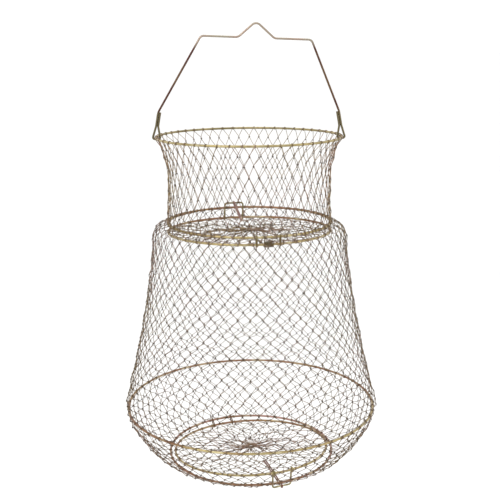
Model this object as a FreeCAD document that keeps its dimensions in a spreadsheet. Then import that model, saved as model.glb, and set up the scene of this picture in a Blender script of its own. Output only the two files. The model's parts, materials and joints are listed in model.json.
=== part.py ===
"""Collapsible hanging wire basket: four hoops, sprung lid, bottom door and a carrying bail.

Every length is in millimetres. The origin is the hang point, the underside of the hump in the
bail's crown, with +Z up and the lid's catch at the back (+Y). The hoops share one vertical axis.
"""
import FreeCAD, Part
import math
import os
import Sketcher

from FreeCAD import Placement, Rotation, Vector

SIZES = [
    # wires
    ("hoop_wire", 2.8, "diameter of the six hoops"),
    ("bail_wire", 2.6, "diameter of the bail"),
    ("catch_wire", 2.2, "diameter of the U catches"),
    ("pin_wire", 1.8, "diameter of the hairpin latches"),
    ("link_wire", 1.6, "diameter of the hinge links"),
    ("spring_wire", 1.0, "diameter of the lid spring"),
    ("gather_wire", 1.4, "diameter of the gathering rings"),
    ("net_skin", 1.2, "thickness of the netting at its knots"),
    # hoops
    ("rim_radius", 114.5, "top hoop"),
    ("neck_radius", 102.3, "hoop that the lid shuts against"),
    ("belly_radius", 160.0, "widest hoop"),
    ("base_radius", 107.0, "bottom hoop"),
    ("lid_play", 0.0, "how much smaller than the neck hoop the lid's hoop is, in radius"),
    ("door_play", 6.5, "how much smaller than the base hoop the door's hoop is, in radius"),
    # heights, each from the hoop above
    ("collar_height", 106.8, "rim hoop to neck hoop"),
    ("body_height", 242.5, "neck hoop to belly hoop"),
    ("bowl_height", 66.1, "belly hoop to base hoop"),
    # netting outline
    ("shoulder_reach", 20.2, "out from the neck hoop to where the body netting turns down"),
    ("shoulder_drop", 18.5, "below the neck hoop"),
    ("net_bulge", 5.0, "how far the netting stands outside the belly hoop"),
    ("flare_power", 1.4, "how late the body netting flares towards the belly"),
    ("bowl_power", 0.6, "how round the bowl is, 1 being a plain cone"),
    ("collar_nip", 1.6, "how far the collar netting's waist stands inside the neck hoop"),
    ("collar_power", 5.0, "how early the collar netting narrows under the rim hoop"),
    # bail, from the rim hoop's centre line
    ("crown_height", 119.0, "flat part of the crown above the rim hoop"),
    ("crown_half", 66.9, "half the width of the crown"),
    ("crown_shift", 9.9, "crown's offset to +X, as the wire is bent by hand"),
    ("crown_drop", 2.8, "how much lower the +X corner is than the crown's middle"),
    ("hump_half", 22.0, "half the width of the hump"),
    ("hump_rise", 19.4, "hump's vertex above the crown"),
    ("kink_height", 30.0, "where each leg turns in"),
    ("kink_inset", 3.0, "how far the kink stands in from the rim hoop"),
    ("eye_play", 2.3, "between the rim hoop and each side of the bail's eye"),
    ("eye_height", 13.0, "top of the eye above the rim hoop"),
    # lid and door hardware
    ("catch_width", 25.0, "between the legs of a catch"),
    ("catch_height", 21.0, "hoop's plane to the crossbar"),
    ("catch_lean", 8.0, "degrees, lean of a catch towards the middle"),
    ("pin_length", 54.0, "crossbar to the tip of a latch"),
    ("pin_angle", 18.0, "degrees between a swung-in latch and the netting"),
    ("link_pitch", 8.5, "between the two hoops that a hinge link holds"),
    ("link_spread", 8.0, "degrees from the hinge's middle to each link"),
    ("gather_radius", 4.5, "ring that the netting's middle is gathered on"),
    ("lid_turn", 12.6, "degrees, lid's catch from +Y towards -X"),
    ("lid_droop", 1.55, "degrees that the unlatched lid hangs down"),
    ("door_turn", 203.5, "degrees, door's catch from +Y towards -X"),
    ("door_lift", 4.4, "degrees that the unlatched door is raised"),
    ("spring_play", 1.4, "between the lid spring's coil and the lid's hoop inside it"),
    ("spring_pitch", 1.3, "advance of one turn of the lid spring"),
    ("spring_leg", 20.0, "length of the spring's arm under the lid"),
    # clearances
    ("touch_gap", 0.05, "between wires that bear on each other"),
    ("wrap_gap", 0.1, "between a catch's eye and its hoop"),
    ("link_gap", 0.3, "between a hinge link and its hoops"),
    ("net_gap", 0.4, "between netting and the wires of other pieces"),
    ("edge_gap", 1.6, "between the lid spring's coil and the edge of a lid's or door's netting"),
]
SPRING_TURNS = 8

document = FreeCAD.newDocument("WireBasket")
sheet = document.addObject("Spreadsheet::Sheet", "Sizes")
for row, (alias, value, note) in enumerate(SIZES, start=1):
    sheet.set(f"A{row}", alias)
    sheet.set(f"B{row}", str(value))
    sheet.set(f"C{row}", note)
    sheet.setAlias(f"B{row}", alias)
document.recompute()

subparts = []


def size(alias):
    """The sheet's value for one named size, as a plain number."""
    return float(getattr(sheet, alias))


def keep(item, label, place):
    """Name a finished sub-part, put it in its place and list it for export."""
    item.Label = label
    item.Placement = place
    subparts.append(item)
    return item


def at_height(height, across=0.0):
    """Placement on the basket's own axis."""
    return Placement(Vector(axis_x + across, 0, height), Rotation())


# ---------------------------------------------------------------- bent wire

def bent_edges(points, radii):
    """Straight runs through the points, joined at each inner point by a tangent arc."""
    edges = []
    start = points[0]
    for before, corner, after, radius in zip(points, points[1:], points[2:], radii):
        back = (before - corner).normalize()
        ahead = (after - corner).normalize()
        half = back.getAngle(ahead) / 2
        reach = radius / math.tan(half)
        middle = (back + ahead).normalize()
        crest = corner + middle * (radius / math.sin(half) - radius)
        edges.append(Part.LineSegment(start, corner + back * reach).toShape())
        edges.append(Part.Arc(corner + back * reach, crest, corner + ahead * reach).toShape())
        start = corner + ahead * reach
    edges.append(Part.LineSegment(start, points[-1]).toShape())
    return edges


def bent_wire(label, edges, wire_alias, place):
    """A round wire swept along a bent path, its diameter bound to the sheet."""
    path = document.addObject("Part::Feature", f"{label}_path")
    path.Shape = Part.Wire(edges)
    first = edges[0]
    along = first.tangentAt(first.FirstParameter)
    section = document.addObject("Part::Circle", f"{label}_section")
    section.setExpression("Radius", f"Sizes.{wire_alias} / 2")
    section.Placement = Placement(
        first.valueAt(first.FirstParameter), Rotation(Vector(0, 0, 1), along))
    sweep = document.addObject("Part::Sweep", f"{label}_sweep")
    sweep.Sections = [section]
    sweep.Spine = (path, [f"Edge{n + 1}" for n in range(len(edges))])
    sweep.Solid = True
    sweep.Frenet = False
    return keep(sweep, label, place)


def hoop(label, radius_rule, wire_alias, place):
    """A closed ring of round wire."""
    torus = document.addObject("Part::Torus", f"{label}_torus")
    torus.setExpression("Radius1", radius_rule)
    torus.setExpression("Radius2", f"Sizes.{wire_alias} / 2")
    return keep(torus, label, place)


# ---------------------------------------------------------------- bail

def bail_side(side):
    """One end of the bail: tail, eye round the rim hoop and kink, from the tail upwards."""
    rim = size("rim_radius")
    bar = -(size("hoop_wire") + size("bail_wire")) / 2 - size("touch_gap")
    doubled = size("bail_wire") + size("touch_gap")
    kink = rim - size("kink_inset")
    tip = size("eye_height")
    half = size("eye_play") + (size("hoop_wire") + size("bail_wire")) / 2
    outline = [
        (kink - doubled, size("kink_height")),
        (rim - doubled, tip),
        (rim - half, bar),
        (rim + half, bar),
        (rim, tip),
        (kink, size("kink_height")),
    ]
    return [Vector(side * across, 0, height) for across, height in outline]


def crown_point(across, rise):
    """A point of the crown; across is measured from the crown's own middle."""
    slope = size("crown_drop") / size("crown_half")
    return Vector(size("crown_shift") + across, 0, size("crown_height") + rise - across * slope)


EYE_BENDS = [6.0, 2.4, 2.4, 6.0, 20.0]
CROWN_BENDS = [6.0, 8.0, 7.0, 8.0, 6.0]
crown = [
    crown_point(-size("crown_half"), 0),
    crown_point(-size("hump_half"), 0),
    crown_point(0, size("hump_rise")),
    crown_point(size("hump_half"), 0),
    crown_point(size("crown_half"), 0),
]
bail_points = bail_side(-1) + crown + bail_side(1)[::-1]
bail_edges = bent_edges(bail_points, EYE_BENDS + CROWN_BENDS + EYE_BENDS[::-1])
hump_arc = bail_edges[2 * (len(EYE_BENDS) + 2) + 1]
hump_centre = hump_arc.Curve.Center
hang_height = hump_centre.z + hump_arc.Curve.Radius - size("bail_wire") / 2

axis_x = -hump_centre.x
rim_z = -hang_height
neck_z = rim_z - size("collar_height")
belly_z = neck_z - size("body_height")
base_z = belly_z - size("bowl_height")

bent_wire("bail", bail_edges, "bail_wire", at_height(rim_z))

# ---------------------------------------------------------------- fixed hoops

hoop("rim_ring", "Sizes.rim_radius", "hoop_wire", at_height(rim_z))
hoop("neck_ring", "Sizes.neck_radius", "hoop_wire", at_height(neck_z))
hoop("belly_ring", "Sizes.belly_radius", "hoop_wire", at_height(belly_z))
hoop("base_ring", "Sizes.base_radius", "hoop_wire", at_height(base_z))


# ---------------------------------------------------------------- netting

def inner_face(outline, skin):
    """The outline moved inwards by the netting's thickness, square to its own slope."""
    moved = []
    for n, here in enumerate(outline):
        before = outline[max(n - 1, 0)]
        after = outline[min(n + 1, len(outline) - 1)]
        along = (after - before).normalize()
        moved.append(here + Vector(along.z, 0, -along.x) * skin)
    return moved


def netting(label, outline, place):
    """A thin shell of revolution; outline lists radius and height of its outer face, downwards."""
    outer_points = [Vector(radius, 0, height) for radius, height in outline]
    outer = Part.BSplineCurve()
    outer.interpolate(outer_points)
    inner = Part.BSplineCurve()
    inner.interpolate(inner_face(outer_points, size("net_skin")))
    boundary = Part.Wire([
        outer.toShape(),
        Part.LineSegment(outer.EndPoint, inner.EndPoint).toShape(),
        inner.toShape(),
        Part.LineSegment(inner.StartPoint, outer.StartPoint).toShape(),
    ])
    profile = document.addObject("Part::Feature", f"{label}_profile")
    profile.Shape = Part.Face(boundary)
    turned = document.addObject("Part::Revolution", f"{label}_turned")
    turned.Source = profile
    turned.Axis = Vector(0, 0, 1)
    turned.Angle = 360
    turned.Solid = False
    return keep(turned, label, place)


hoop_clear = size("hoop_wire") / 2 + size("net_gap")
half_skin = size("net_skin") / 2
link_reach = hoop_clear + size("link_gap") + size("link_wire")
eye_depth = hoop_clear + size("bail_wire") + size("touch_gap")

spring_radius = (size("hoop_wire") + size("spring_wire")) / 2 + size("spring_play")
spring_edge = spring_radius + size("spring_wire") / 2
neck_edge = size("neck_radius") + spring_edge + size("net_gap") / 2 + size("net_skin")
belly_edge = size("belly_radius") + size("net_bulge")
base_edge = size("base_radius") + hoop_clear + size("net_skin")


def collar_outline():
    """Quick narrowing under the rim hoop, then a slack waist down to the neck hoop."""
    top = (eye_depth + size("net_skin")) / size("collar_height")
    bottom = 1 - link_reach / size("collar_height")
    flare = size("rim_radius") - size("neck_radius")
    points = []
    for step in (0, 1, 2, 3, 5, 7, 9):
        share = top + (bottom - top) * step / 9
        points.append((
            size("neck_radius") + half_skin
            + flare * (1 - share)**size("collar_power")
            - size("collar_nip") * math.sin(math.pi * share),
            -size("collar_height") * share,
        ))
    return points


def body_outline():
    """A rounded shoulder under the neck hoop, then a flare down to the belly hoop."""
    shoulder = size("neck_radius") + size("shoulder_reach")
    points = []
    for step in range(4):
        turn = math.radians(22.5 * step)
        points.append((
            neck_edge + (shoulder - neck_edge) * math.sin(turn),
            -hoop_clear - (size("shoulder_drop") - hoop_clear) * (1 - math.cos(turn)),
        ))
    lowest = -size("body_height") + hoop_clear
    for step in range(7):
        share = step / 6
        points.append((
            shoulder + (belly_edge - shoulder) * share**size("flare_power"),
            -size("shoulder_drop") + (lowest + size("shoulder_drop")) * share,
        ))
    return points


def bowl_outline():
    """Round bowl from the belly hoop in to the base hoop."""
    points = []
    for share in (1.0, 0.85, 0.7, 0.55, 0.4, 0.25, 0.12, 0.03):
        points.append((
            base_edge + (belly_edge - base_edge) * share**size("bowl_power"),
            -hoop_clear - (size("bowl_height") - hoop_clear) * (1 - share),
        ))
    return points


netting("collar_mesh", collar_outline(), at_height(rim_z))
netting("body_mesh", body_outline(), at_height(neck_z))
netting("base_mesh", bowl_outline(), at_height(belly_z))


# ---------------------------------------------------------------- lid and door

def net_disc(label, radius_rule, place):
    """The flat netting of a lid or door, padded from a ring-shaped sketch."""
    body = document.addObject("PartDesign::Body", f"{label}_body")
    planes = {plane.Role: plane for plane in body.Origin.OriginFeatures}
    sketch = body.newObject("Sketcher::SketchObject", f"{label}_sketch")
    sketch.AttachmentSupport = [(planes["XY_Plane"], "")]
    sketch.MapMode = "FlatFace"
    middle = Vector(0, 0, 0)
    upright = Vector(0, 0, 1)
    rings = {
        "outer": f"{radius_rule} - (Sizes.hoop_wire / 2 + Sizes.spring_play"
                 " + Sizes.spring_wire + Sizes.edge_gap)",
        "inner": "Sizes.gather_radius + Sizes.gather_wire / 2 + Sizes.wrap_gap",
    }
    for radius, (edge_name, rule) in zip((90, 10), rings.items()):
        circle = sketch.addGeometry(Part.Circle(middle, upright, radius), False)
        sketch.addConstraint(Sketcher.Constraint("Coincident", circle, 3, -1, 1))
        limit = sketch.addConstraint(Sketcher.Constraint("Radius", circle, radius))
        sketch.renameConstraint(limit, edge_name)
        sketch.setExpression(f"Constraints.{edge_name}", rule)
    pad = body.newObject("PartDesign::Pad", f"{label}_pad")
    pad.Profile = sketch
    pad.Midplane = True
    pad.setExpression("Length", "Sizes.net_skin")
    return keep(body, label, place)


def catch_edges(radius):
    """Path of a U catch: an eye round the hoop, a leg, the crossbar, a leg and an eye."""
    half = size("catch_width") / 2
    lean = math.radians(size("catch_lean"))
    wrap = (size("hoop_wire") + size("catch_wire")) / 2 + size("wrap_gap")
    reach = math.sqrt(radius**2 - half**2)
    foot_y = reach - wrap * math.cos(lean)
    foot_z = -wrap * math.sin(lean)
    bar_y = foot_y - (size("catch_height") - foot_z) * math.tan(lean)
    legs = [
        Vector(-half, foot_y, foot_z),
        Vector(-half, bar_y, size("catch_height")),
        Vector(half, bar_y, size("catch_height")),
        Vector(half, foot_y, foot_z),
    ]

    def eye_point(across, degrees):
        turn = math.radians(degrees)
        return Vector(across, reach + wrap * math.cos(turn), wrap * math.sin(turn))

    start_turn = 180 + size("catch_lean")
    middle_turn, end_turn = 305, 430
    left = Part.Arc(eye_point(-half, end_turn), eye_point(-half, middle_turn),
                    eye_point(-half, start_turn)).toShape()
    right = Part.Arc(eye_point(half, start_turn), eye_point(half, middle_turn),
                     eye_point(half, end_turn)).toShape()
    return [left] + bent_edges(legs, [3.0, 3.0]) + [right], bar_y


def latch_edges():
    """Path of a hairpin latch bent round the crossbar, pointing along -Y in its own frame."""
    bend = (size("catch_wire") + size("pin_wire")) / 2 + size("touch_gap")
    length = size("pin_length")
    shorter = length - 2 * size("pin_wire")
    upper = [Vector(0, -length, bend), Vector(0, 0, bend)]
    lower = [Vector(0, 0, -bend), Vector(0, -shorter, -bend)]
    return [
        Part.LineSegment(*upper).toShape(),
        Part.Arc(upper[1], Vector(0, bend, 0), lower[0]).toShape(),
        Part.LineSegment(*lower).toShape(),
    ]


def link_edges(first, second):
    """Closed link round two parallel wires whose centres are given in the YZ plane."""
    wrap = (size("hoop_wire") + size("link_wire")) / 2 + size("link_gap")
    along = (second - first).normalize()
    side = Vector(1, 0, 0).cross(along)
    return [
        Part.LineSegment(first + side * wrap, second + side * wrap).toShape(),
        Part.Arc(second + side * wrap, second + along * wrap, second - side * wrap).toShape(),
        Part.LineSegment(second - side * wrap, first - side * wrap).toShape(),
        Part.Arc(first - side * wrap, first - along * wrap, first + side * wrap).toShape(),
    ]


def closure(name, frame_alias, play_alias, frame_height, turn, lean_in, faces_down):
    """A round lid or door that opens inwards, hung by two links from a hoop of the basket.

    Its own frame has the hinge at -Y, the catch at +Y and the outside of the basket at +Z.
    """
    frame_radius = size(frame_alias)
    radius = frame_radius - size(play_alias)
    radius_rule = f"Sizes.{frame_alias} - Sizes.{play_alias}"
    spread = math.radians(size("link_spread"))
    hinge_y = -radius * math.cos(spread)
    link_x = radius * math.sin(spread)
    hoop_y = -math.sqrt(frame_radius**2 - link_x**2)
    hoop_rise = math.sqrt(size("link_pitch")**2 - (hinge_y - hoop_y)**2)

    facing = Rotation(Vector(0, 1, 0), 180 if faces_down else 0)
    turned = Rotation(Vector(0, 0, 1), turn)
    level = Placement(Vector(axis_x, 0, frame_height - hoop_rise), turned.multiply(facing))
    swing = Placement(Vector(0, hinge_y, 0), Rotation(Vector(1, 0, 0), -lean_in))
    place = level.multiply(swing).multiply(Placement(Vector(0, -hinge_y, 0), Rotation()))

    hoop(f"{name}_ring", radius_rule, "hoop_wire", place)
    net_disc(f"{name}_mesh", radius_rule, place)
    hoop(f"{name}_gather_ring", "Sizes.gather_radius", "gather_wire", place)
    edges, bar_y = catch_edges(radius)
    bent_wire(f"{name}_catch", edges, "catch_wire", place)
    pivot = Placement(Vector(0, bar_y, size("catch_height")),
                      Rotation(Vector(1, 0, 0), size("pin_angle")))
    bent_wire(f"{name}_latch", latch_edges(), "pin_wire", place.multiply(pivot))

    own_hoop = Vector(0, hinge_y, 0)
    frame_hoop = Vector(0, hoop_y, -hoop_rise if faces_down else hoop_rise)
    for side, word in ((-1, "left"), (1, "right")):
        beside = Placement(Vector(side * link_x, 0, 0), Rotation())
        bent_wire(f"{name}_hinge_{word}", link_edges(own_hoop, frame_hoop), "link_wire",
                  level.multiply(beside))
    return place, hinge_y


lid_place, lid_hinge_y = closure(
    "lid", "neck_radius", "lid_play", neck_z, size("lid_turn"), size("lid_droop"), False)
closure(
    "door", "base_radius", "door_play", base_z, size("door_turn"), size("door_lift"), True)


# ---------------------------------------------------------------- lid spring

def spring_edges():
    """Path of the torsion spring round the lid's hoop, from the arm behind the neck hoop, through
    the coil, to the arm under the lid. The coil's own axis is Z."""
    span = (SPRING_TURNS + 0.25) * size("spring_pitch")
    upper_length = size("link_pitch") + size("hoop_wire")
    coil = Part.makeHelix(size("spring_pitch"), span, spring_radius)
    coil.rotate(Vector(0, 0, 0), Vector(0, 0, 1), 180)
    coil.translate(Vector(0, 0, -span / 2))
    turns = coil.Edges[0]
    start = turns.valueAt(turns.FirstParameter)
    end = turns.valueAt(turns.LastParameter)
    upper_end = start - turns.tangentAt(turns.FirstParameter) * upper_length
    lower_end = end + turns.tangentAt(turns.LastParameter) * size("spring_leg")
    return [
        Part.LineSegment(upper_end, start).toShape(),
        turns,
        Part.LineSegment(end, lower_end).toShape(),
    ]


coil_to_hinge = Placement(Vector(0, lid_hinge_y, 0), Rotation(Vector(1, 1, 1), 120))
bent_wire("lid_spring", spring_edges(), "spring_wire", lid_place.multiply(coil_to_hinge))


# ---------------------------------------------------------------- check and export

document.recompute()
for item in document.Objects:
    faults = {"Invalid", "Error"}.intersection(item.State)
    if faults:
        raise RuntimeError(f"{item.Label}: {sorted(faults)}")
for item in subparts:
    if item.Shape.isNull() or not item.Shape.isValid() or len(item.Shape.Solids) != 1:
        raise RuntimeError(f"{item.Label}: not one valid solid")

os.makedirs("parts", exist_ok=True)
for item in subparts:
    item.Shape.exportStep(f"parts/{item.Label}.step")
    box = item.Shape.BoundBox
    print(f"{item.Label:20s} volume {item.Shape.Volume:9.1f}  z {box.ZMin:8.1f} {box.ZMax:8.1f}")
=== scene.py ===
"""Collapsible hanging wire basket: its netting, wire finishes, light and camera.

Lengths are in metres, in the basket's own frame: it hangs from the origin, +Z is up and -Y is
the front. The hoops, bail, catches, latches and links come ready made and are only dressed here.
"""
import json
import logging
import math
import random
from dataclasses import dataclass, field
from enum import Enum
from typing import Callable, Iterable, Sequence

import bpy
import numpy as np
from mathutils import Matrix, Vector


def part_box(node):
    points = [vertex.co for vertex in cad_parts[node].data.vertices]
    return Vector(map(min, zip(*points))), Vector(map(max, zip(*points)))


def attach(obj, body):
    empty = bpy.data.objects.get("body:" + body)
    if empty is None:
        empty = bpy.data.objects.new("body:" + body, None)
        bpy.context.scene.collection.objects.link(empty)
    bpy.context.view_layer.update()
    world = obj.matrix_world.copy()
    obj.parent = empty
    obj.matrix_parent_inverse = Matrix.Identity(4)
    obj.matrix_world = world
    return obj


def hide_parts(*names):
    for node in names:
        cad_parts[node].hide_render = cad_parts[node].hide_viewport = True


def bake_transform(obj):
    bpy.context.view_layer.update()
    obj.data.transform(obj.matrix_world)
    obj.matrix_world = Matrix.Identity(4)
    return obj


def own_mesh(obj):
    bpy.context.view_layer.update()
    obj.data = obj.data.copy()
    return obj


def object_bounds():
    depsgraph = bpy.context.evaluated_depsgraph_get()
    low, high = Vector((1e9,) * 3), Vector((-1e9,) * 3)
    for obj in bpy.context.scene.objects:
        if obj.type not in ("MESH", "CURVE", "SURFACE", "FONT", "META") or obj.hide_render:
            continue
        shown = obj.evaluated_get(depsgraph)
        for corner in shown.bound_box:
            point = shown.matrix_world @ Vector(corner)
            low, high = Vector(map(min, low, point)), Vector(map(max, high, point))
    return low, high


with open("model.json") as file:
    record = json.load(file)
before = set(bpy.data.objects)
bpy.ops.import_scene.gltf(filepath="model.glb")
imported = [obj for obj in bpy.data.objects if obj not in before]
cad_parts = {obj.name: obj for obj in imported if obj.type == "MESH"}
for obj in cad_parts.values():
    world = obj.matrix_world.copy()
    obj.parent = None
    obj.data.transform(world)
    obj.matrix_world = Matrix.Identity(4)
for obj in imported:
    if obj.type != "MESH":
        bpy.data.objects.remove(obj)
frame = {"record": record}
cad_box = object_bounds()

log = logging.getLogger("wire_basket")

Colour = tuple[float, float, float]
Direction = tuple[float, float, float]

# Mesh value that is 1 where a net's wire is bent round its neighbour.
KNOT = "knot"

# Numbers of the Mix node's colour sockets.
MIX_FIRST, MIX_SECOND, MIX_RESULT = 6, 7, 2


# ---------------------------------------------------------------- shader expressions

class Channel:
    """One value of a shader, which can be added, scaled and mixed like a number."""

    def __init__(self, surface: "Surface", socket: bpy.types.NodeSocket) -> None:
        """Wrap a socket of a surface's node tree.

        Args:
            surface: the surface that the socket belongs to.
            socket: the output socket.
        """
        self.surface = surface
        self.socket = socket

    def _math(self, operation: str, first: object, second: object = 0.0) -> "Channel":
        """Add a Math node.

        Args:
            operation: the node's operation.
            first: a number or channel.
            second: a number or channel.

        Returns:
            The node's result.
        """
        node = self.surface.node(
            "ShaderNodeMath", {"operation": operation}, {0: first, 1: second})
        return Channel(self.surface, node.outputs[0])

    def __add__(self, other: object) -> "Channel":
        """This plus the other."""
        return self._math("ADD", self, other)

    __radd__ = __add__

    def __sub__(self, other: object) -> "Channel":
        """This minus the other."""
        return self._math("SUBTRACT", self, other)

    def __rsub__(self, other: object) -> "Channel":
        """The other minus this."""
        return self._math("SUBTRACT", other, self)

    def __mul__(self, other: object) -> "Channel":
        """This times the other."""
        return self._math("MULTIPLY", self, other)

    __rmul__ = __mul__

    def clamped(self) -> "Channel":
        """This, held between 0 and 1."""
        return self._math("MINIMUM", self._math("MAXIMUM", self, 0.0), 1.0)


@dataclass(frozen=True)
class Clouds:
    """Cloudy noise, spread out between two levels.

    It has so many clouds to a metre and so many levels of finer noise. The noise value `low`
    becomes 0 and `high` becomes 1. The shift moves the pattern, so that two don't coincide.
    """

    per_metre: float
    detail: float
    low: float
    high: float
    shift: float = 0.0


class Surface:
    """A material being put together from nodes round one Principled shader."""

    def __init__(self, name: str, metallic: float) -> None:
        """Make an empty material.

        Args:
            name: the material's name.
            metallic: how metallic it is all over.
        """
        self.material = bpy.data.materials.new(name)
        self.material.use_nodes = True
        self.tree = self.material.node_tree
        self.tree.nodes.clear()
        output = self.tree.nodes.new("ShaderNodeOutputMaterial")
        self.shader = self.tree.nodes.new("ShaderNodeBsdfPrincipled")
        self.shader.inputs["Metallic"].default_value = metallic
        self.tree.links.new(self.shader.outputs["BSDF"], output.inputs["Surface"])

    def node(self, kind: str, settings: dict[str, object],
             inputs: dict[object, object]) -> bpy.types.Node:
        """Add one node.

        Args:
            kind: the node's type.
            settings: properties, set before any socket.
            inputs: values or links by socket name or number.

        Returns:
            The node.
        """
        made = self.tree.nodes.new(kind)
        for name, value in settings.items():
            setattr(made, name, value)
        for key, value in inputs.items():
            self.feed(made.inputs[key], value)
        return made

    def feed(self, socket: bpy.types.NodeSocket, value: object) -> None:
        """Link or set one input socket.

        Args:
            socket: the input.
            value: a channel, an output socket, a number or a colour.
        """
        if isinstance(value, Channel):
            self.tree.links.new(value.socket, socket)
        elif isinstance(value, bpy.types.NodeSocket):
            self.tree.links.new(value, socket)
        elif isinstance(value, tuple) and len(value) == 3 and socket.type == "RGBA":
            socket.default_value = (*value, 1.0)
        else:
            socket.default_value = value

    def place(self) -> bpy.types.NodeSocket:
        """The point being shaded, in the basket's own frame."""
        return self.node("ShaderNodeTexCoord", {}, {}).outputs["Object"]

    def along(self, direction: Direction, start: float, end: float) -> Channel:
        """A ramp from 0 to 1 along a direction.

        Args:
            direction: unit vector to measure along.
            start: distance at which the ramp is 0.
            end: distance at which it is 1.

        Returns:
            The ramp, held between 0 and 1.
        """
        dot = self.node("ShaderNodeVectorMath", {"operation": "DOT_PRODUCT"},
                        {0: self.place(), 1: direction}).outputs["Value"]
        ramp = self.node("ShaderNodeMapRange", {"interpolation_type": "SMOOTHSTEP"},
                         {"Value": dot, "From Min": start, "From Max": end})
        return Channel(self, ramp.outputs["Result"])

    def noise(self, clouds: Clouds, shift: float = 0.0) -> Channel:
        """Cloudy noise over the surface.

        Args:
            clouds: the noise's sizes.
            shift: moves the pattern further, so that pieces differ.

        Returns:
            The noise, held between 0 and 1.
        """
        shift += clouds.shift
        moved = self.node("ShaderNodeVectorMath", {"operation": "ADD"},
                          {0: self.place(), 1: (shift, -shift, 0.37 * shift)})
        noise = self.node("ShaderNodeTexNoise", {"noise_dimensions": "3D"}, {
            "Vector": moved.outputs["Vector"], "Scale": clouds.per_metre,
            "Detail": clouds.detail})
        spread = self.node("ShaderNodeMapRange", {"interpolation_type": "SMOOTHSTEP"}, {
            "Value": noise.outputs["Fac"], "From Min": clouds.low, "From Max": clouds.high})
        return Channel(self, spread.outputs["Result"])

    def mark(self, name: str) -> Channel:
        """A value stored on the mesh's points.

        Args:
            name: the attribute's name.

        Returns:
            The value.
        """
        found = self.node("ShaderNodeAttribute", {"attribute_name": name}, {})
        return Channel(self, found.outputs["Fac"])

    def mix(self, share: object, first: object, second: object) -> bpy.types.NodeSocket:
        """Mix two colours.

        Args:
            share: 0 for the first colour, 1 for the second.
            first: a colour or a colour socket.
            second: a colour or a colour socket.

        Returns:
            The mixed colour.
        """
        node = self.node("ShaderNodeMix", {"data_type": "RGBA"},
                         {"Factor": share, MIX_FIRST: first, MIX_SECOND: second})
        return node.outputs[MIX_RESULT]

    def bump(self, height: Channel, depth: float, strength: float) -> None:
        """Give the surface a relief.

        Args:
            height: the relief, 0 to 1.
            depth: its real depth.
            strength: how much of it shows.
        """
        node = self.node("ShaderNodeBump", {}, {
            "Height": height, "Distance": depth, "Strength": strength})
        self.feed(self.shader.inputs["Normal"], node.outputs["Normal"])


# ---------------------------------------------------------------- finishes

BRASS: Colour = (0.43, 0.345, 0.165)
# Pale brass of the wires' painted highlights.
PALE_BRASS_HIGHLIGHT: Colour = (0.68, 0.61, 0.40)
OLIVE: Colour = (0.225, 0.185, 0.085)
DARK_OLIVE: Colour = (0.150, 0.122, 0.066)
COPPER: Colour = (0.265, 0.140, 0.078)
BROWN: Colour = (0.135, 0.078, 0.042)
# Pale nickel of the bail crown's painted highlight.
NICKEL_HIGHLIGHT: Colour = (0.35, 0.315, 0.245)
# Pale rose of the painted highlights and reflections on the latch, bail crown and base ring.
ROSE_HIGHLIGHT: Colour = (0.38, 0.235, 0.195)
MAROON: Colour = (0.080, 0.030, 0.024)
RUST: Colour = (0.175, 0.066, 0.050)
# Near-black tint of the nets where a wire is bent round its neighbour.
KNOT_DARK: Colour = (0.028, 0.019, 0.012)

UP: Direction = (0.0, 0.0, 1.0)
BACK: Direction = (0.0, 1.0, 0.0)


@dataclass(frozen=True)
class TintedWire:
    """Yellow-passivated wire whose tint turns from one colour to another along a direction as
    painted reflection and shade; its cloudy patches are the plating's own uneven tint, and its
    pale patches are painted highlights.
    """

    name: str
    first: Colour
    second: Colour
    towards: Direction = BACK
    start: float = -0.06
    end: float = 0.09
    patches: float = 0.45
    shift: float = 0.0
    patch_clouds: Clouds = Clouds(22.0, 3.0, 0.38, 0.64)
    highlight_clouds: Clouds = Clouds(55.0, 2.0, 0.52, 0.70, shift=3.0)
    highlight_share: float = 0.55
    dull_clouds: Clouds = Clouds(130.0, 4.0, 0.54, 0.72, shift=7.0)
    dull_share: float = 0.6
    grain_clouds: Clouds = Clouds(900.0, 3.0, 0.30, 0.75)
    grain_depth: float = 0.00006
    metallic: float = 0.82
    roughness: float = 0.26
    dull_roughness: float = 0.22
    grain_roughness: float = 0.10

    def material(self) -> bpy.types.Material:
        """Put the finish together.

        Returns:
            The finished material.
        """
        surface = Surface(self.name, self.metallic)
        # Painted reflection and shade: the tint turns from the first colour to the second along
        # the given direction.
        turn = surface.along(self.towards, self.start, self.end)
        patches = surface.noise(self.patch_clouds, self.shift)
        share = (turn + (patches - 0.5) * (2 * self.patches)).clamped()
        tint = surface.mix(share, self.first, self.second)
        # Painted highlights: clouds of pale brass scattered over the wire.
        highlight = surface.noise(self.highlight_clouds, self.shift)
        tint = surface.mix(highlight * self.highlight_share, tint, PALE_BRASS_HIGHLIGHT)
        dull = surface.noise(self.dull_clouds, self.shift)
        tint = surface.mix(dull * self.dull_share, tint, BROWN)
        surface.feed(surface.shader.inputs["Base Color"], tint)
        grain = surface.noise(self.grain_clouds, self.shift)
        rough = self.roughness + dull * self.dull_roughness + grain * self.grain_roughness
        surface.feed(surface.shader.inputs["Roughness"], rough)
        surface.bump(grain, self.grain_depth, strength=0.5)
        return surface.material


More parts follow.
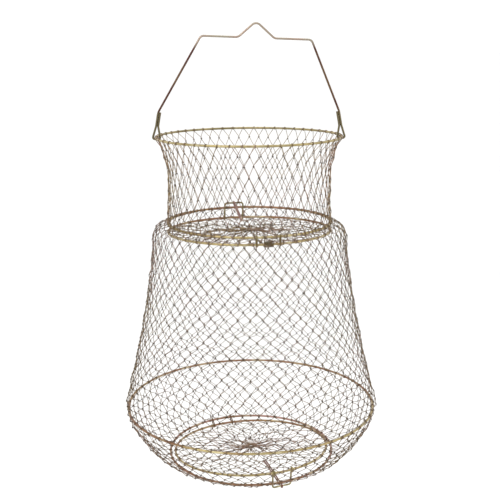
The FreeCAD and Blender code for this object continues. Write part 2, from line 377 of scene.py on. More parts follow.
@dataclass(frozen=True)
class BailWire:
    """Wire that is painted pale on the crown as a highlight, red-brown down the legs and olive
    round the eyes.

    The painted highlight lies above the height `crown`, the red-brown finish between `legs` and
    the eyes, and the olive one below the height `eyes`.
    """

    name: str
    crown: float
    legs: float
    eyes: float
    eye_blend: float = 0.004
    tint_clouds: Clouds = Clouds(40.0, 2.0, 0.35, 0.65)
    grain_clouds: Clouds = Clouds(800.0, 3.0, 0.30, 0.75)
    grain_depth: float = 0.00005
    rose_share: float = 0.5
    metallic: float = 0.85
    roughness: float = 0.22
    grain_roughness: float = 0.16

    def material(self) -> bpy.types.Material:
        """Put the finish together.

        Returns:
            The finished material.
        """
        surface = Surface(self.name, self.metallic)
        clouds = surface.noise(self.tint_clouds)
        # Painted highlight on the crown: pale nickel with clouds of pale rose.
        highlight = surface.mix(clouds * self.rose_share, NICKEL_HIGHLIGHT, ROSE_HIGHLIGHT)
        leg = surface.mix(clouds, MAROON, BROWN)
        crown = surface.along(UP, self.legs, self.crown)
        tint = surface.mix(crown, leg, highlight)
        above = surface.along(UP, self.eyes, self.eyes + self.eye_blend)
        tint = surface.mix(above, DARK_OLIVE, tint)
        grain = surface.noise(self.grain_clouds)
        surface.feed(surface.shader.inputs["Base Color"], tint)
        surface.feed(surface.shader.inputs["Roughness"],
                     self.roughness + grain * self.grain_roughness)
        surface.bump(grain, self.grain_depth, strength=0.5)
        return surface.material


@dataclass(frozen=True)
class NetWire:
    """Thin dull wire, darker where it is bent round its neighbour."""

    name: str
    fresh: Colour = (0.262, 0.192, 0.102)
    worn: Colour = (0.148, 0.100, 0.058)
    rosy: Colour = (0.280, 0.176, 0.130)
    shift: float = 0.0
    tint_clouds: Clouds = Clouds(14.0, 2.0, 0.38, 0.62)
    worn_clouds: Clouds = Clouds(90.0, 3.0, 0.40, 0.66, shift=5.0)
    worn_share: float = 0.8
    knot_share: float = 0.8
    metallic: float = 0.8
    roughness: float = 0.34
    worn_roughness: float = 0.14
    knot_roughness: float = 0.12

    @classmethod
    def darker(cls, name: str, shift: float) -> "NetWire":
        """The same wire with a deeper tint, as on the body.

        Args:
            name: the material's name.
            shift: moves the pattern.

        Returns:
            The finish.
        """
        return cls(name, fresh=(0.205, 0.148, 0.078), worn=(0.112, 0.075, 0.043),
                   rosy=(0.220, 0.136, 0.098), shift=shift)

    def material(self) -> bpy.types.Material:
        """Put the finish together.

        Returns:
            The finished material.
        """
        surface = Surface(self.name, self.metallic)
        clouds = surface.noise(self.tint_clouds, self.shift)
        worn = surface.noise(self.worn_clouds, self.shift)
        tint = surface.mix(clouds, self.fresh, self.rosy)
        tint = surface.mix(worn * self.worn_share, tint, self.worn)
        knot = surface.mark(KNOT)
        tint = surface.mix(knot * self.knot_share, tint, KNOT_DARK)
        surface.feed(surface.shader.inputs["Base Color"], tint)
        rough = self.roughness + worn * self.worn_roughness + knot * self.knot_roughness
        surface.feed(surface.shader.inputs["Roughness"], rough)
        return surface.material


@dataclass(frozen=True)
class PaleFloor:
    """Matt off-white floor with faint clouds."""

    first: Colour = (0.93, 0.93, 0.925)
    second: Colour = (0.955, 0.955, 0.95)
    clouds: Clouds = Clouds(3.0, 2.0, 0.3, 0.7)
    roughness: float = 0.9
    specular: float = 0.1

    def material(self) -> bpy.types.Material:
        """Put the finish together.

        Returns:
            The finished material.
        """
        surface = Surface("pale_floor", metallic=0.0)
        tint = surface.mix(surface.noise(self.clouds), self.first, self.second)
        surface.feed(surface.shader.inputs["Base Color"], tint)
        surface.feed(surface.shader.inputs["Roughness"], self.roughness)
        surface.feed(surface.shader.inputs["Specular IOR Level"], self.specular)
        return surface.material


# ---------------------------------------------------------------- wire meshes

@dataclass
class Strand:
    """One run of bent wire."""

    points: list[Vector]
    marks: list[float]
    closed: bool = False


class WireBundle:
    """Round wires that are gathered into one mesh."""

    def __init__(self, thick: float, sides: int = 6) -> None:
        """Start an empty bundle.

        Args:
            thick: the wire's diameter.
            sides: how many faces go round it.
        """
        self.radius = thick / 2
        self.sides = sides
        self.places: list[np.ndarray] = []
        self.marks: list[float] = []
        self.faces: list[tuple[int, ...]] = []
        self.ring_count = 0

    def add(self, strand: Strand) -> None:
        """Skin one strand.

        Args:
            strand: the wire's path.
        """
        path = np.array([tuple(p) for p in strand.points])
        count = len(path)
        if strand.closed:
            ahead = np.roll(path, -1, 0) - path
            steps = ahead / np.linalg.norm(ahead, axis=1)[:, None]
            tangents = steps + np.roll(steps, 1, 0)
        else:
            ahead = np.diff(path, axis=0)
            steps = ahead / np.linalg.norm(ahead, axis=1)[:, None]
            tangents = np.vstack([steps[:1], steps[1:] + steps[:-1], steps[-1:]])
        tangents /= np.linalg.norm(tangents, axis=1)[:, None]
        slant = (0.13, 0.31, 0.94)  # no wire starts along it
        side = np.cross(tangents[0], slant)
        sides = np.empty((count, 3))
        for n in range(count):
            side = side - tangents[n] * side.dot(tangents[n])
            side /= math.sqrt(side.dot(side))
            sides[n] = side
        others = np.cross(tangents, sides)
        turns = np.arange(self.sides) * (2 * math.pi / self.sides)
        rings = (path[:, None, :]
                 + self.radius * np.cos(turns)[None, :, None] * sides[:, None, :]
                 + self.radius * np.sin(turns)[None, :, None] * others[:, None, :])
        first = self.ring_count * self.sides
        self.places.append(rings.reshape(-1, 3))
        for mark in strand.marks:
            self.marks.extend([mark] * self.sides)
        self._join(first, count, strand.closed, sides, others)
        self.ring_count += count

    def _join(self, first: int, count: int, closed: bool, sides: np.ndarray,
              others: np.ndarray) -> None:
        """Join a strand's rings by faces, and close or cap its ends.

        Args:
            first: number of the strand's first point.
            count: how many rings it has.
            closed: whether its last ring meets its first.
            sides: each ring's first direction.
            others: each ring's second direction.
        """
        size = self.sides
        for n in range(count - 1):
            low = first + n * size
            for k in range(size):
                after = (k + 1) % size
                self.faces.append((low + k, low + after, low + size + after, low + size + k))
        low = first + (count - 1) * size
        if closed:
            gap = math.atan2(others[-1].dot(sides[0]), sides[-1].dot(sides[0]))
            skip = round(gap / (2 * math.pi / size))
            for k in range(size):
                here, after = (k + skip) % size, (k + skip + 1) % size
                self.faces.append((low + here, low + after, first + (k + 1) % size, first + k))
        else:
            self.faces.append(tuple(first + k for k in reversed(range(size))))
            self.faces.append(tuple(low + k for k in range(size)))

    def make(self, name: str) -> bpy.types.Object:
        """Turn the bundle into a piece.

        Args:
            name: the piece's name.

        Returns:
            The new object, linked to the scene.
        """
        mesh = bpy.data.meshes.new(name)
        mesh.from_pydata(np.vstack(self.places), [], self.faces)
        mesh.shade_smooth()
        marks = mesh.attributes.new(KNOT, "FLOAT", "POINT")
        marks.data.foreach_set("value", self.marks)
        self._lay_out(mesh)
        piece = bpy.data.objects.new(name, mesh)
        bpy.context.collection.objects.link(piece)
        log.info("%s: %d faces", name, len(self.faces))
        return piece

    @staticmethod
    def _lay_out(mesh: bpy.types.Mesh) -> None:
        """Give every face a cell of its own on a square map.

        Args:
            mesh: the wires.
        """
        layer = mesh.uv_layers.new(name="OFBake")
        count = len(mesh.polygons)
        across = math.ceil(math.sqrt(count))
        totals = np.empty(count, np.int32)
        mesh.polygons.foreach_get("loop_total", totals)
        numbers = np.arange(count)
        cells = np.stack([numbers % across, numbers // across], 1)
        corners = []
        for total in sorted(set(totals.tolist())):
            turns = (np.arange(total) + 0.5) * (2 * math.pi / total)
            reach = 0.5 / max(abs(math.cos(turns[0])), abs(math.sin(turns[0])))
            corners.append((total, 0.5 + reach * np.stack([np.cos(turns), np.sin(turns)], 1)))
        places = np.empty((int(totals.sum()), 2), np.float32)
        starts = np.concatenate([[0], np.cumsum(totals)[:-1]])
        for total, shape in corners:
            chosen = np.nonzero(totals == total)[0]
            loops = starts[chosen][:, None] + np.arange(total)[None, :]
            places[loops] = (cells[chosen][:, None, :] + shape[None, :, :]) / across
        layer.uv.foreach_set("vector", places.ravel())


# ---------------------------------------------------------------- nets

class End(Enum):
    """How a net's edge is fastened: degrees round the hoop, and drift along it."""

    WRAPPED = (540.0, 1.9)
    HOOKED = (180.0, 0.5)

    def __init__(self, degrees: float, drift: float) -> None:
        """Name the two sizes.

        Args:
            degrees: how far the wire goes round.
            drift: how far its ends lie apart along the hoop, in wire diameters.
        """
        self.degrees = degrees
        self.drift = drift


@dataclass(frozen=True)
class Weave:
    """Sizes of the wire netting's bends, the same in every net.

    The ends of an eye lie apart by its lean, in wire diameters. A wrap has a loose gap round its
    hoop, and its mark is how much of a knot's dark tint it takes.
    """

    thick: float = 0.00070
    eye: float = 0.00082
    eye_lean: float = 1.1
    eye_begin: float = math.radians(48)
    eye_sweep: float = math.radians(276)
    eye_step: float = math.radians(35)
    link_reach: float = 0.0009
    loose: float = 0.00010
    wrap_step: float = math.radians(45)
    wrap_mark: float = 0.08


# A hook's points: across and up in reaches of a link, and out in wire diameters.
HOOK_ROUTE = (
    (-1.1, -1.9, 0.95), (-0.42, -0.85, 1.05), (-0.12, -0.1, 0.62), (0.0, 0.12, 0.0),
    (0.12, -0.1, -0.62), (0.42, -0.85, -1.05), (1.1, -1.9, -0.95))


@dataclass
class Spot:
    """A place on a net with its own axes."""

    place: Vector
    down: Vector
    outward: Vector
    across: Vector

    def at(self, across: float, up: float, out: float) -> Vector:
        """A point beside this one.

        Args:
            across: distance round the net.
            up: distance towards the net's first row.
            out: distance off the net.

        Returns:
            The point.
        """
        return self.place + self.across * across - self.down * up + self.outward * out


@dataclass
class Slack:
    """Unevenness of a net: long waves and a small shake of each knot."""

    seed: int
    wave: float = 0.00045
    shake: float = 0.00032
    rough: float = 0.0005
    wave_count: int = 6
    draw: random.Random = field(init=False)
    waves: list[tuple[float, ...]] = field(init=False)

    def __post_init__(self) -> None:
        """Draw the long waves."""
        self.draw = random.Random(self.seed)
        self.waves = [
            (self.draw.randint(2, 9), self.draw.uniform(4.0, 30.0), self.draw.uniform(0, 6.28))
            for _ in range(self.wave_count)]

    def push(self, turn: float, depth: float) -> tuple[float, float, float]:
        """How far one knot is out of place.

        Args:
            turn: angle round the net.
            depth: distance down the net.

        Returns:
            Shifts across, up and out.
        """
        sums = [0.0, 0.0, 0.0]
        for n, (lobes, per_decimetre, phase) in enumerate(self.waves):
            sums[n % 3] += math.sin(lobes * turn + per_decimetre * 10 * depth + phase)
        shifts = [self.wave * s for s in sums]
        shifts[0] += self.draw.gauss(0, self.shake)
        shifts[1] += self.draw.gauss(0, self.shake)
        shifts[2] += self.draw.gauss(0, self.rough)
        return shifts[0], shifts[1], shifts[2]


@dataclass
class Net:
    """Courses of zigzag wire, each hooked into the one above, between two hoops.

    The profile is taken at a share of the way. So many bends go round, with straight sides
    between them, and the last course may be longer.
    """

    profile: Callable[[float], tuple[float, float]]
    base: Matrix
    count: int
    side: float
    first_wire: float
    last_wire: float
    slack: Slack
    last_end: End = End.WRAPPED
    weave: Weave = Weave()
    last_course: float = 0.0
    line_points: int = 241
    line: np.ndarray = field(init=False)
    depths: np.ndarray = field(init=False)
    rows: list[float] = field(init=False)
    knots: list[list[Spot]] = field(init=False)

    def __post_init__(self) -> None:
        """Measure the profile and place every knot."""
        shares = np.linspace(0, 1, self.line_points)
        self.line = np.array([self.profile(share) for share in shares])
        hops = np.linalg.norm(np.diff(self.line, axis=0), axis=1)
        self.depths = np.concatenate([[0], np.cumsum(hops)])
        self.rows = self._row_depths()
        self.knots = [[self._spot(row, n) for n in range(self.count)]
                      for row in range(len(self.rows))]

    def _row_depths(self) -> list[float]:
        """Space the rows of knots as wires of one length between knots allow.

        Returns:
            The depth of each row.
        """
        length = self.depths[-1] - self.last_course
        least = self.side / 3
        rows = [0.0]
        while rows[-1] < length:
            radius = float(np.interp(rows[-1] + least, self.depths, self.line[:, 0]))
            half = math.pi * radius / self.count
            rows.append(rows[-1] + math.sqrt(max(self.side**2 - half**2, least**2)))
        if rows[-1] - length > length - rows[-2]:
            rows.pop()
        depths = [row * length / rows[-1] for row in rows]
        return depths + [self.depths[-1]] if self.last_course else depths

    def _spot(self, row: int, number: int) -> Spot:
        """One knot of the net.

        Args:
            row: its row.
            number: its number round the row.

        Returns:
            The knot's place and axes.
        """
        depth = self.rows[row]
        turn = 2 * math.pi * (number + (row % 2) / 2) / self.count
        edge = row in (0, len(self.rows) - 1)
        shift, up, out = (0.0, 0.0, 0.0) if edge else self.slack.push(turn, depth)
        radius, height = (float(np.interp(depth, self.depths, self.line[:, n])) for n in (0, 1))
        step = 0.001
        ends = [np.array([np.interp(d, self.depths, self.line[:, n]) for n in (0, 1)])
                for d in (max(depth - step, 0), min(depth + step, self.depths[-1]))]
        slope = (ends[1] - ends[0]) / np.linalg.norm(ends[1] - ends[0])
        ray = Vector((math.cos(turn), math.sin(turn), 0))
        up_axis = Vector((0, 0, 1))
        down = ray * slope[0] + up_axis * slope[1]
        across = up_axis.cross(ray)
        outward = across.cross(down) * -1
        turned = self.base.to_3x3()
        spot = Spot(self.base @ (ray * radius + up_axis * height), turned @ down,
                    turned @ outward, turned @ across)
        spot.place = spot.at(shift, up, out)
        return spot

    def _eye(self, spot: Spot) -> Strand:
        """The bottom bend of a course: a small eye that its own ends cross above.

        Args:
            spot: the knot.

        Returns:
            The bend, from the left strand to the right one.
        """
        weave = self.weave
        steps = round(weave.eye_sweep / weave.eye_step)
        points = []
        for n in range(steps + 1):
            turn = weave.eye_begin - weave.eye_sweep * n / steps
            out = weave.thick * (0.5 - n / steps) * weave.eye_lean
            points.append(spot.at(weave.eye * math.cos(turn), weave.eye * math.sin(turn), out))
        return Strand(points, [0.0] + [1.0] * (steps - 1) + [0.0])

    def _hook(self, spot: Spot) -> Strand:
        """The top bend of a course, passed through the eye above.

        Args:
            spot: the knot.

        Returns:
            The bend, from the left strand to the right one.
        """
        reach, out = self.weave.link_reach, self.weave.thick
        points = [spot.at(a * reach, u * reach, o * out) for a, u, o in HOOK_ROUTE]
        return Strand(points, [0.0] + [1.0] * (len(points) - 2) + [0.0])

    def _wrap(self, spot: Spot, ring_wire: float, away: float, end: End) -> Strand:
        """A bend round a hoop.

        Args:
            spot: the hoop's centre line.
            ring_wire: the hoop's wire.
            away: 1 at the net's first hoop and -1 at its last.
            end: how the wire goes round it.

        Returns:
            The bend, from the left strand to the right one.
        """
        weave = self.weave
        reach = (ring_wire + weave.thick) / 2 + weave.loose
        sweep = math.radians(end.degrees)
        steps = round(sweep / weave.wrap_step)
        drift = weave.thick * end.drift
        points = []
        for n in range(steps + 1):
            turn = sweep * n / steps
            points.append(spot.at(drift * (n / steps - 0.5), away * reach * math.sin(turn),
                                  reach * math.cos(turn)))
        return Strand(points, [0.0] + [weave.wrap_mark] * (steps - 1) + [0.0])

    def build(self, net: Sequence[WireBundle], first: WireBundle, last: WireBundle) -> None:
        """Lay every course.

        Args:
            net: bundles for the courses, shared out from the first row down.
            first: bundle for the bends round the first hoop.
            last: bundle for the bends round the last.
        """
        courses = len(self.rows) - 1
        for course in range(courses):
            bundle = net[course * len(net) // courses]
            bends = []
            for number in range(self.count):
                upper = self.knots[course][number]
                lower = self.knots[course + 1][(number + course % 2) % self.count]
                if course == 0:
                    bends.append((self._wrap(upper, self.first_wire, 1, End.WRAPPED), first))
                else:
                    bends.append((self._hook(upper), None))
                if course == courses - 1:
                    bends.append((self._wrap(lower, self.last_wire, -1, self.last_end), last))
                else:
                    bends.append((self._eye(lower), None))
            self._lay(bends, bundle)

    @staticmethod
    def _lay(bends: list[tuple[Strand, WireBundle | None]], bundle: WireBundle) -> None:
        """Join the bends of one course, cutting the wire where a bend has its own bundle.

        Args:
            bends: each bend and its own bundle, or None where it stays in the course.
            bundle: the course's bundle.
        """
        cuts = [n for n, (_, own) in enumerate(bends) if own is not None]
        if not cuts:
            bundle.add(Strand([p for bend, _ in bends for p in bend.points],
                              [m for bend, _ in bends for m in bend.marks], True))
            return
        total = len(bends)
        for cut, following in zip(cuts, cuts[1:] + [cuts[0] + total]):
            bend, own = bends[cut]
            own.add(bend)
            after = bends[following % total][0]
            points, marks = [bend.points[-1]], [bend.marks[-1]]
            for n in range(cut + 1, following):
                middle = bends[n % total][0]
                points += middle.points
                marks += middle.marks
            bundle.add(Strand(points + [after.points[0]], marks + [after.marks[0]]))


# ---------------------------------------------------------------- the basket's places

@dataclass(frozen=True)
class Hoop:
    """A level hoop, as the frame gives it."""

    radius: float
    wire: float
    centre: Vector

    @classmethod
    def of(cls, node: str) -> "Hoop":
        """Read a level hoop.

        Args:
            node: the hoop's name.

        Returns:
            Its sizes and place.
        """
        low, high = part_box(node)
        wire = high.z - low.z
        return cls((high.x - low.x - wire) / 2, wire, (low + high) / 2)


@dataclass(frozen=True)
class Closure:
    """A lid or door: its hoop and the axes that it hangs by."""

    radius: float
    place: Matrix

    @classmethod
    def of(cls, name: str, wire: float) -> "Closure":
        """Read a lid or door.

        Args:
            name: "lid" or "door".
            wire: the hoop's wire.

        Returns:
            Its radius, and its axes with the hinge at -Y and the outside at +Z.
        """
        low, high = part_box(f"{name}_ring")
        centre = (low + high) / 2
        hinge = joint(f"{name}_hinge")
        across = Vector(hinge["axis"]).normalized()
        inward = (centre - Vector(hinge["pos_m"])).normalized()
        out = across.cross(inward)
        turned = Matrix((across, inward, out)).transposed()
        spread = math.hypot(across.x, inward.x)
        return cls((high.x - low.x - wire) / 2 / spread,
                   Matrix.Translation(centre) @ turned.to_4x4())


def joint(name: str) -> dict:
    """One joint of the record.

    Args:
        name: the joint's name.

    Returns:
        Its entry.
    """
    return next(j for j in frame["record"]["behaviour"]["joints"] if j["name"] == name)


def lift(body: str) -> float:
    """How far a hoop rises when the basket is folded up.

    Args:
        body: the hoop's body.

    Returns:
        The distance, towards the rim.
    """
    travel = joint("collapse")["range_m"][1]
    if body == "rim":
        return 0.0
    if body == "base":
        return travel
    couplings = frame["record"]["behaviour"]["couplings"]
    return travel * next(c["ratio"] for c in couplings if c["joint"] == f"{body}_slide")


# ---------------------------------------------------------------- nets between hoops

@dataclass
class BasketNet:
    """A net between two level hoops; the real net folds flat as they close.

    It stands in for `node` and hangs from the body `upper` to the body `lower`. Its pieces are
    called by its name and the ends in `parts`, from the top down.
    """

    name: str
    node: str
    upper: str
    lower: str
    count: int
    side: float
    slack: Slack
    parts: tuple[str, ...] = ("",)
    weave: Weave = Weave()
    top: Hoop = field(init=False)
    bottom: Hoop = field(init=False)

    def __post_init__(self) -> None:
        """Find the two hoops."""
        self.top = Hoop.of(f"{self.upper}_ring")
        self.bottom = Hoop.of(f"{self.lower}_ring")

    def profile(self, share: float) -> tuple[float, float]:
        """Radius and height of the net's line, both against its upper hoop's centre.

        Args:
            share: 0 at the upper hoop and 1 at the lower.

        Returns:
            The radius and height.
        """
        raise NotImplementedError

    def build(self, finish: NetWire) -> None:
        """Make the net's pieces and ride them.

        Args:
            finish: the wire's finish.
        """
        top, bottom = self.top, self.bottom
        net = Net(self.profile, Matrix.Translation(top.centre), self.count, self.side,
                  top.wire, bottom.wire, self.slack, weave=self.weave)
        bundles = [WireBundle(self.weave.thick) for _ in self.parts]
        hooks = WireBundle(self.weave.thick), WireBundle(self.weave.thick)
        net.build(bundles, *hooks)
        material = finish.material()
        height = top.centre.z - bottom.centre.z
        keep = 1 - (lift(self.lower) - lift(self.upper)) / height
        for part, bundle in zip(self.parts, bundles):
            piece = bundle.make(self.name + part)
            dress(piece, material, self.upper)
            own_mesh(piece)
            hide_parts(self.node)
        for bundle, body in zip(hooks, (self.upper, self.lower)):
            dress(bundle.make(f"{self.name}_{body}_bends"), material, body)


@dataclass
class CollarNet(BasketNet):
    """The open collar: narrows quickly under the rim, then hangs slack to the neck."""

    nip: float = 0.0016
    power: float = 5.0

    def profile(self, share: float) -> tuple[float, float]:
        """Radius and height of the collar's line.

        Args:
            share: 0 at the rim and 1 at the neck.

        Returns:
            The radius and height.
        """
        flare = (self.top.radius - self.bottom.radius) * (1 - share)**self.power
        waist = self.nip * math.sin(math.pi * share)
        drop = self.top.centre.z - self.bottom.centre.z
        return self.bottom.radius + flare - waist, -drop * share


@dataclass
class BodyNet(BasketNet):
    """The body: a rounded shoulder under the neck, then a flare down to the belly."""

    shoulder_reach: float = 0.0198
    shoulder_drop: float = 0.0185
    shoulder_share: float = 0.12
    bulge: float = 0.0044
    tuck_share: float = 0.965
    power: float = 1.4

    def profile(self, share: float) -> tuple[float, float]:
        """Radius and height of the body's line.

        Args:
            share: 0 at the neck and 1 at the belly.

        Returns:
            The radius and height.
        """
        shoulder = self.top.radius + self.shoulder_reach
        drop = self.top.centre.z - self.bottom.centre.z
        if share < self.shoulder_share:
            turn = math.pi / 2 * share / self.shoulder_share
            return (self.top.radius + self.shoulder_reach * math.sin(turn),
                    -self.shoulder_drop * (1 - math.cos(turn)))
        down = (share - self.shoulder_share) / (1 - self.shoulder_share)
        edge = self.bottom.radius + self.bulge
        radius = shoulder + (edge - shoulder) * down**self.power
        tuck = max(0.0, (share - self.tuck_share) / (1 - self.tuck_share))
        return (radius - self.bulge * tuck**2,
                -self.shoulder_drop - (drop - self.shoulder_drop) * down)


@dataclass
class BowlNet(BasketNet):
    """The round bowl between the belly and the base."""

    bulge: float = 0.0044
    edge_reach: float = 0.0025
    tuck_share: float = 0.09
    power: float = 0.6

    def profile(self, share: float) -> tuple[float, float]:
        """Radius and height of the bowl's line.

        Args:
            share: 0 at the belly and 1 at the base.

        Returns:
            The radius and height.
        """
        drop = self.top.centre.z - self.bottom.centre.z
        edge = self.bottom.radius + self.edge_reach * (1 - share)
        reach = self.top.radius + self.bulge - edge
        radius = edge + reach * (1 - share)**self.power
        tuck = max(0.0, 1 - share / self.tuck_share)
        return radius - self.bulge * tuck**2, -drop * share


# ---------------------------------------------------------------- lid and door nets

@dataclass
class GatheredNet:
    """The netting of a lid or door, gathered on a small ring in its middle."""

    body: str
    count: int
    side: float
    sag: float
    slack: Slack
    last_course: float = 0.0145
    ring_wire: float = 0.0014
    weave: Weave = Weave()

    def build(self, hoop_wire: float, finish: NetWire) -> None:
        """Make the net's piece.

        Args:
            hoop_wire: the hoop's wire.
            finish: the wire's finish.
        """
        closure = Closure.of(self.body, hoop_wire)
        low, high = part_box(f"{self.body}_gather_ring")
        inner = (high.x - low.x - self.ring_wire) / 2

        def profile(share: float) -> tuple[float, float]:
            """Radius and height of the net's line.

            Args:
                share: 0 at the hoop and 1 at the ring.

            Returns:
                The radius and height.
            """
            radius = closure.radius + (inner - closure.radius) * share
            return radius, -self.sag * math.sin(math.pi * share)**2

        net = Net(profile, closure.place, self.count, self.side, hoop_wire, self.ring_wire,
                  self.slack, End.HOOKED, self.weave, self.last_course)
        bundle = WireBundle(self.weave.thick)
        net.build([bundle], bundle, bundle)
        piece = bundle.make(f"{self.body}_net")
        dress(piece, finish.material(), self.body)
        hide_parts(f"{self.body}_mesh")


@dataclass
class LidSpring:
    """Torsion spring round the lid's hoop; on the real basket its coil twists as the lid swings.
    """

    wire: float = 0.0010
    radius: float = 0.0033
    pitch: float = 0.0013
    turns: float = 8.25
    upper_arm: float = 0.0113
    lower_arm: float = 0.0200
    arm_shares: tuple[float, ...] = (0.1, 0.5, 1.0)
    per_turn: int = 20
    sides: int = 10

    def build(self, finish: TintedWire, hoop_wire: float) -> None:
        """Make the spring between the neck and the lid.

        Args:
            finish: the wire's finish.
            hoop_wire: the lid hoop's wire.
        """
        closure = Closure.of("lid", hoop_wire)
        centre = closure.place.inverted() @ Vector(joint("lid_hinge")["pos_m"])
        span = self.turns * self.pitch
        steps = round(self.turns * self.per_turn)
        route = []
        for n in range(steps + 1):
            turn = math.pi + 2 * math.pi * self.turns * n / steps
            route.append(Vector((span * (n / steps - 0.5), self.radius * math.cos(turn),
                                 self.radius * math.sin(turn))))
        first_lead = (route[0] - route[1]).normalized() * self.upper_arm
        last_lead = (route[-1] - route[-2]).normalized() * self.lower_arm
        route = ([route[0] + first_lead * share for share in reversed(self.arm_shares)] + route
                 + [route[-1] + last_lead * share for share in self.arm_shares])
        bundle = WireBundle(self.wire, self.sides)
        points = [closure.place @ (centre + point) for point in route]
        bundle.add(Strand(points, [0.0] * len(points)))
        piece = bundle.make("lid_spring_coil")
        material = finish.material()
        piece.data.materials.append(material)
        ends = [closure.place @ (centre + Vector((side * span / 2, 0, 0))) for side in (-1, 1)]
        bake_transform(piece)
        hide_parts("lid_spring")


def dress(piece: bpy.types.Object, material: bpy.types.Material, body: str) -> None:
    """Give a piece its material, slot and body.

    Args:
        piece: the piece.
        material: its material.
        body: the body that it rides on.
    """
    piece.data.materials.append(material)
    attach(piece, body)


# ---------------------------------------------------------------- ready-made wires

@dataclass
class Ironwork:
    """Finishes of the hoops, bail, catches, latches, links and rings."""

    crown_depth: float = 0.019
    legs_depth: float = 0.034
    eyes_height: float = 0.028

    @staticmethod
    def hoops() -> dict[str, TintedWire]:
        """Choose the hoops' finishes.

        Returns:
            The finish of each hoop.
        """
        # Painted reflection and shade: each hoop is lighter brass at the front and turns darker
        # towards its back; the base ring turns to a painted rose highlight towards its back
        # right.
        return {
            "rim_ring": TintedWire("rim_wire", BRASS, OLIVE, BACK,
                                   start=-0.02, end=0.12, patches=0.5, shift=1.0),
            "neck_ring": TintedWire("neck_wire", BRASS, COPPER, BACK,
                                    start=-0.05, end=0.07, patches=0.35, shift=2.0),
            "lid_ring": TintedWire("lid_wire", BRASS, COPPER, BACK,
                                   start=-0.04, end=0.08, patches=0.4, shift=4.0),
            "belly_ring": TintedWire("belly_wire", BRASS, COPPER, (-0.6, 0.8, 0.0),
                                     start=-0.15, end=0.01, patches=0.45, shift=6.0),
            "base_ring": TintedWire("base_wire", COPPER, ROSE_HIGHLIGHT, (0.8, 0.6, 0.0),
                                    start=-0.08, end=0.10, patches=0.6, shift=8.0),
            "door_ring": TintedWire("door_wire", BRASS, COPPER, BACK,
                                    start=-0.06, end=0.05, patches=0.4, shift=9.0),
        }

    @staticmethod
    def fittings() -> dict[str, TintedWire]:
        """Choose the finishes of the catches, links and rings.

        Returns:
            The finish of each kind of fitting.
        """
        olive = TintedWire("olive_wire", OLIVE, BRASS, UP,
                           start=-0.6, end=-0.2, patches=0.5, shift=11.0)
        brown = TintedWire("brown_wire", BROWN, OLIVE, UP,
                           start=-0.27, end=-0.24, patches=0.3, shift=12.0)
        return {"lid_catch": brown, "door_catch": olive, "hinge": brown, "gather": olive}

    def build(self) -> None:
        """Dress every ready-made wire."""
        for node, finish in self.hoops().items():
            self._dress(node, finish.material())
        rim = Hoop.of("rim_ring").centre.z
        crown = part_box("bail")[1].z
        bail = BailWire("bail_wire", crown=crown - self.crown_depth,
                        legs=crown - self.legs_depth, eyes=rim + self.eyes_height)
        self._dress("bail", bail.material())
        # Painted highlight: the latch turns from rust-red to pale rose towards its upper right.
        latch = TintedWire("latch_wire", RUST, ROSE_HIGHLIGHT, (0.6, 0.0, 0.8),
                           start=-0.1, end=0.1, patches=0.9, shift=14.0)
        latch_material = latch.material()
        fittings = {key: finish.material() for key, finish in self.fittings().items()}
        for closure in ("lid", "door"):
            self._dress(f"{closure}_latch", latch_material)
            self._dress(f"{closure}_catch", fittings[f"{closure}_catch"])
            self._dress(f"{closure}_gather_ring", fittings["gather"])
            for side in ("left", "right"):
                self._dress(f"{closure}_hinge_{side}", fittings["hinge"])

    @staticmethod
    def _dress(node: str, material: bpy.types.Material) -> None:
        """Put a material on a ready-made wire.

        Args:
            node: the wire's name.
            material: the material.
        """
        wire = bpy.data.objects[node]
        if not wire.material_slots:
            wire.data.materials.append(material)
        for slot in wire.material_slots:
            slot.material = material
        log.info("%s dressed in %s", node, material.name)


# ---------------------------------------------------------------- studio

@dataclass(frozen=True)
class Lamp:
    """A soft round light: its place from the basket's middle, its width and its watts."""

    name: str
    place: tuple[float, float, float]
    size: float
    power: float


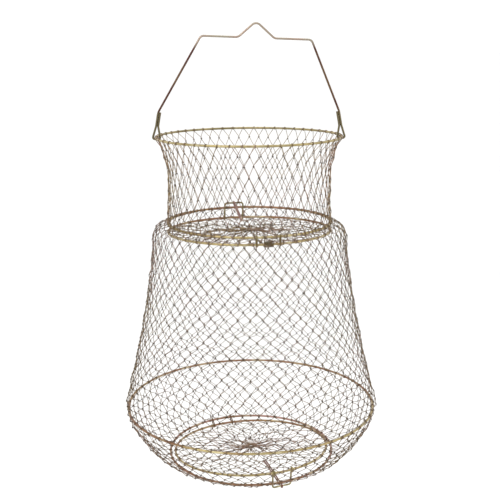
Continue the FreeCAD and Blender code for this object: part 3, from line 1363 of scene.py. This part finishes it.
@dataclass
class Studio:
    """White room: pale floor, soft lights and the camera."""

    floor_gap: float = 0.90
    floor_size: float = 300.0
    world_strength: float = 1.1
    middle_height: float = 0.15
    lamps: tuple[Lamp, ...] = (
        Lamp("key", (-1.3, -1.5, 1.5), 1.3, 16.0), Lamp("fill", (1.9, -0.9, 0.5), 1.2, 5.0),
        Lamp("top", (0.2, 0.5, 2.0), 1.4, 8.0))
    distance: float = 1.137
    rise: float = 0.5289
    tilt: float = 12.78
    roll: float = 0.4
    lens: float = 65.9
    offset: float = 0.0005

    def build(self) -> None:
        """Set up the floor, lights, world and camera."""
        self._floor()
        self._world()
        middle = Hoop.of("belly_ring").centre + Vector((0, 0, self.middle_height))
        for lamp in self.lamps:
            self._light(lamp, middle)
        self._camera()

    def _floor(self) -> None:
        """Lay the floor under the hanging basket."""
        half = self.floor_size / 2
        height = cad_box[0].z - self.floor_gap
        mesh = bpy.data.meshes.new("floor")
        corners = [(-half, -half, height), (half, -half, height), (half, half, height),
                   (-half, half, height)]
        mesh.from_pydata(corners, [], [(0, 1, 2, 3)])
        floor = bpy.data.objects.new("floor", mesh)
        bpy.context.collection.objects.link(floor)
        mesh.materials.append(PaleFloor().material())

    def _world(self) -> None:
        """Light the room evenly white."""
        world = bpy.data.worlds.new("white_room")
        bpy.context.scene.world = world
        world.use_nodes = True
        background = world.node_tree.nodes["Background"]
        background.inputs["Color"].default_value = (1.0, 1.0, 1.0, 1.0)
        background.inputs["Strength"].default_value = self.world_strength
        bpy.context.scene.view_settings.view_transform = "Standard"

    @staticmethod
    def _light(lamp: Lamp, target: Vector) -> None:
        """Hang one soft light.

        Args:
            lamp: the light.
            target: what it points at, and is placed from.
        """
        data = bpy.data.lights.new(lamp.name, "AREA")
        data.shape = "DISK"
        data.size = lamp.size
        data.energy = lamp.power
        light = bpy.data.objects.new(lamp.name, data)
        place = target + Vector(lamp.place)
        light.location = place
        light.rotation_euler = (target - place).to_track_quat("-Z", "Y").to_euler()
        bpy.context.collection.objects.link(light)

    def _camera(self) -> None:
        """Put the camera in front of the basket, a little above it."""
        lens = bpy.data.cameras.new("camera")
        lens.lens = self.lens
        camera = bpy.data.objects.new("camera", lens)
        base = Hoop.of("base_ring").centre
        camera.location = base + Vector((self.offset, -self.distance, self.rise))
        turned = Matrix.Rotation(math.radians(90 - self.tilt), 3, "X")
        rolled = turned @ Matrix.Rotation(math.radians(-self.roll), 3, "Z")
        camera.rotation_euler = rolled.to_euler()
        bpy.context.collection.objects.link(camera)
        bpy.context.scene.camera = camera


def main() -> None:
    """Build the basket's looks in order."""
    logging.basicConfig(level=logging.INFO, format="%(name)s: %(message)s")
    Ironwork().build()
    hoop_wire = Hoop.of("neck_ring").wire
    CollarNet(
        "collar_net", "collar_mesh", "rim", "neck", count=50, side=0.0154, slack=Slack(11),
    ).build(NetWire("collar_net_wire", shift=1.0))
    BodyNet(
        "body_net", "body_mesh", "neck", "belly", count=54, side=0.0118, slack=Slack(23),
        parts=("_upper", "_middle", "_lower"),
    ).build(NetWire.darker("body_net_wire", shift=2.0))
    BowlNet(
        "bowl_net", "base_mesh", "belly", "base", count=54, side=0.0118, slack=Slack(37),
    ).build(NetWire.darker("bowl_net_wire", shift=3.0))
    GatheredNet(
        "lid", count=36, side=0.0118, sag=0.002,
        slack=Slack(41, wave=0.0012, shake=0.0008, rough=0.0009),
    ).build(hoop_wire, NetWire("lid_net_wire", shift=4.0))
    GatheredNet(
        "door", count=36, side=0.0118, sag=0.001,
        slack=Slack(53, wave=0.0012, shake=0.0007, rough=0.0009),
    ).build(hoop_wire, NetWire("door_net_wire", shift=5.0))
    LidSpring().build(TintedWire("spring_wire", DARK_OLIVE, BROWN, shift=15.0), hoop_wire)
    Studio().build()


if __name__ == "__main__":
    main()
